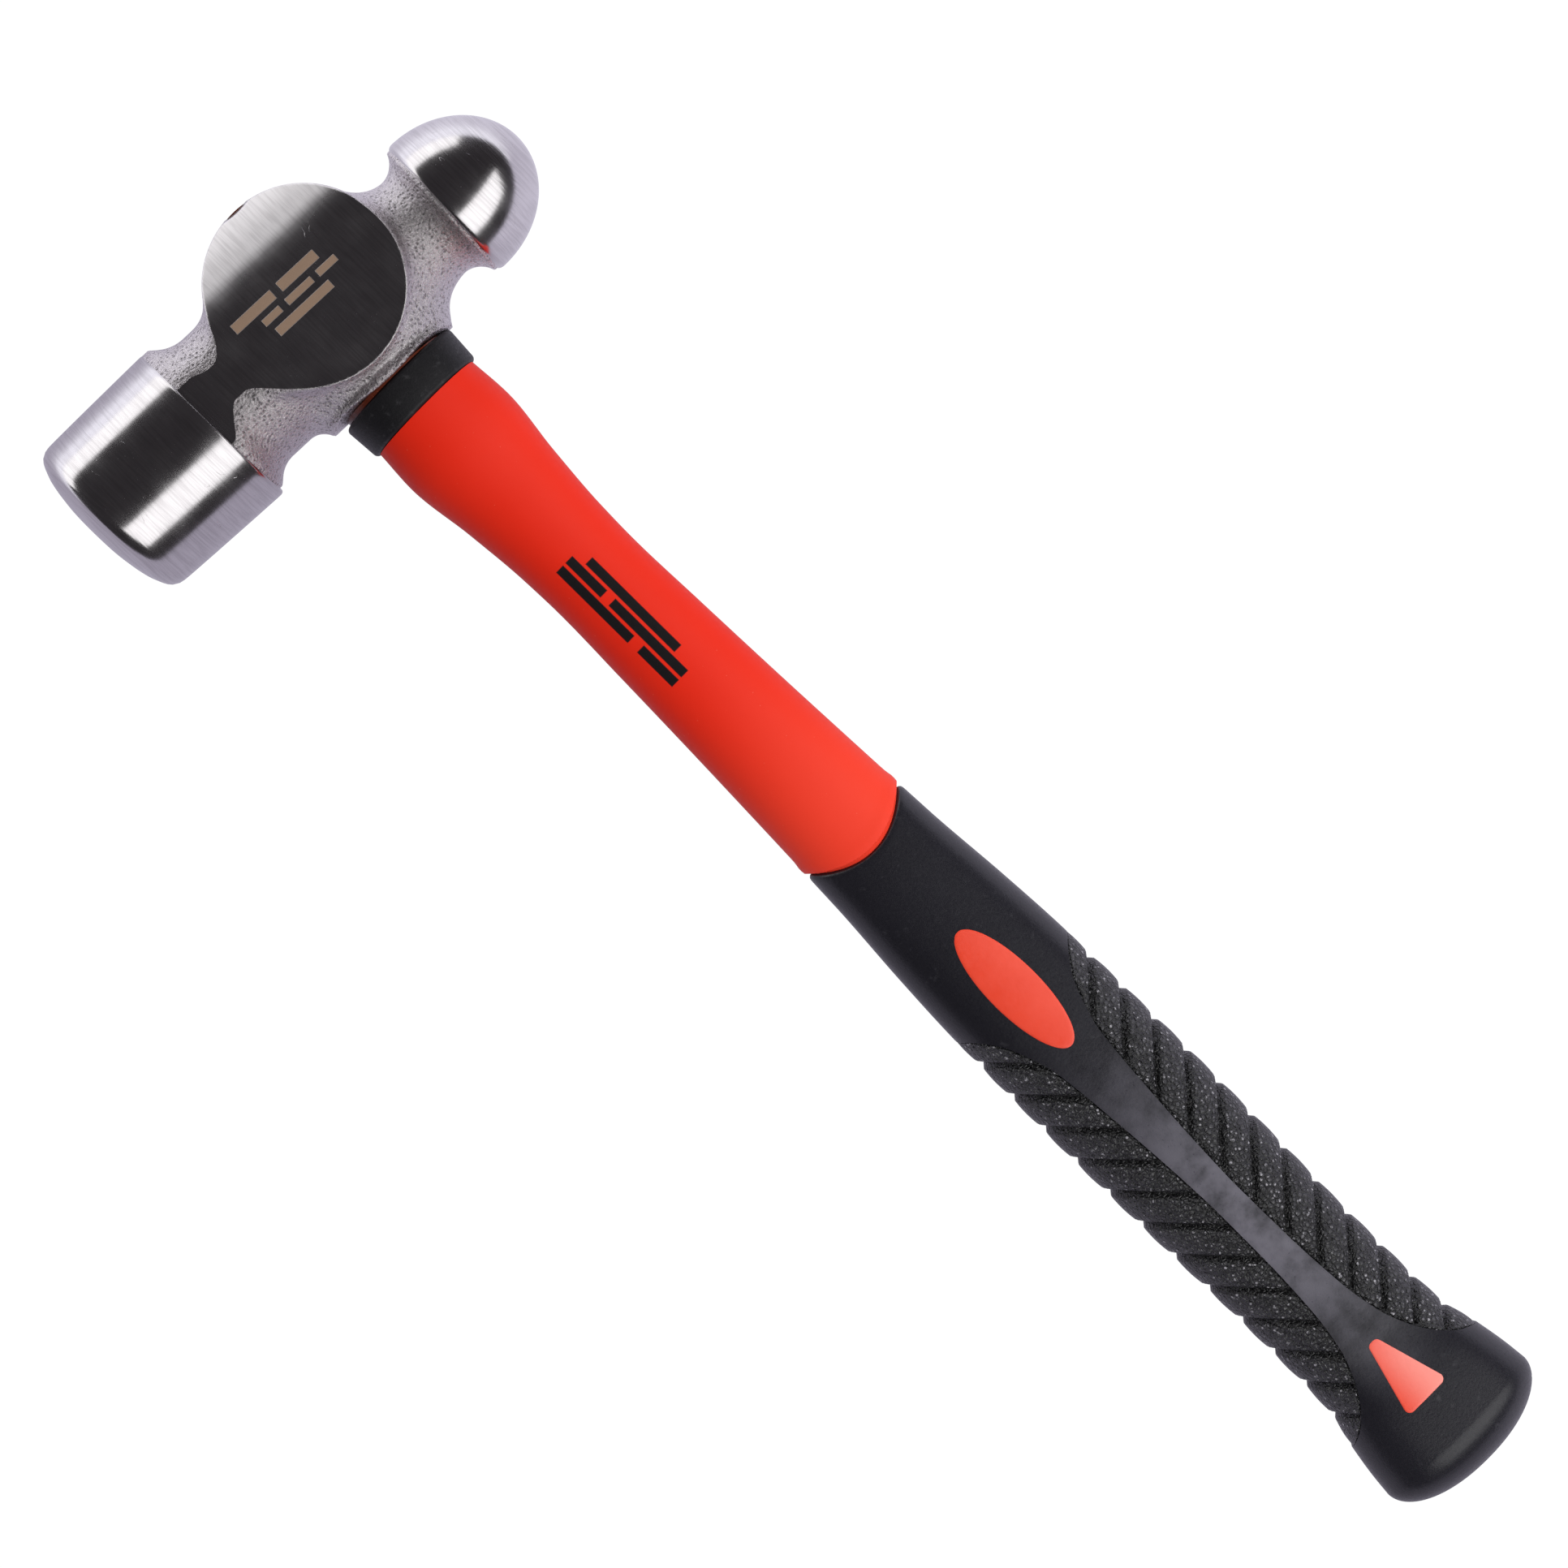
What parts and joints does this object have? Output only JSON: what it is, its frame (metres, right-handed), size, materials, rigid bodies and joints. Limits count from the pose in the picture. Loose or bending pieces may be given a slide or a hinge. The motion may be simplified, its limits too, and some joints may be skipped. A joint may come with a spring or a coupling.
{
  "type": "ball peen hammer",
  "caption": "Two pound ball peen hammer: forged steel head with a flat-sided cheek, bonded to a fibreglass handle with a red jacket and a ribbed black grip.",
  "frame": {"origin": "where the handle's axis crosses the head's axis, half way through the hammer's thickness", "axes": "+Y from the butt to the head along the handle, +X along the head towards the peen, +Z the thickness, up from the side it lies on"},
  "size_m": [0.1234, 0.3751, 0.0416],
  "materials": {
    "forged_steel": "ground bright on the poll, the cheeks and the peen, blasted grey between them",
    "glass_fibre": "pultruded glass fibre rod",
    "resin": "glossy amber",
    "collar_rubber": "satin black",
    "red_jacket": "satin red",
    "black_grip": "smooth satin black",
    "ribbed_grip": "leather grain, black",
    "red_inlay": "satin orange red"
  },
  "bodies": {
    "root": {"hammer_head": "forged_steel", "core_rod": "glass_fibre", "eye_resin": "resin", "neck_collar": "collar_rubber", "handle_jacket": "red_jacket", "grip_shell": "black_grip", "rib_panel_face_side": "ribbed_grip", "rib_panel_peen_side": "ribbed_grip", "oval_inlay_front": "red_inlay", "oval_inlay_back": "red_inlay", "wedge_inlay_front": "red_inlay", "wedge_inlay_back": "red_inlay"}
  },
  "joints": []
}
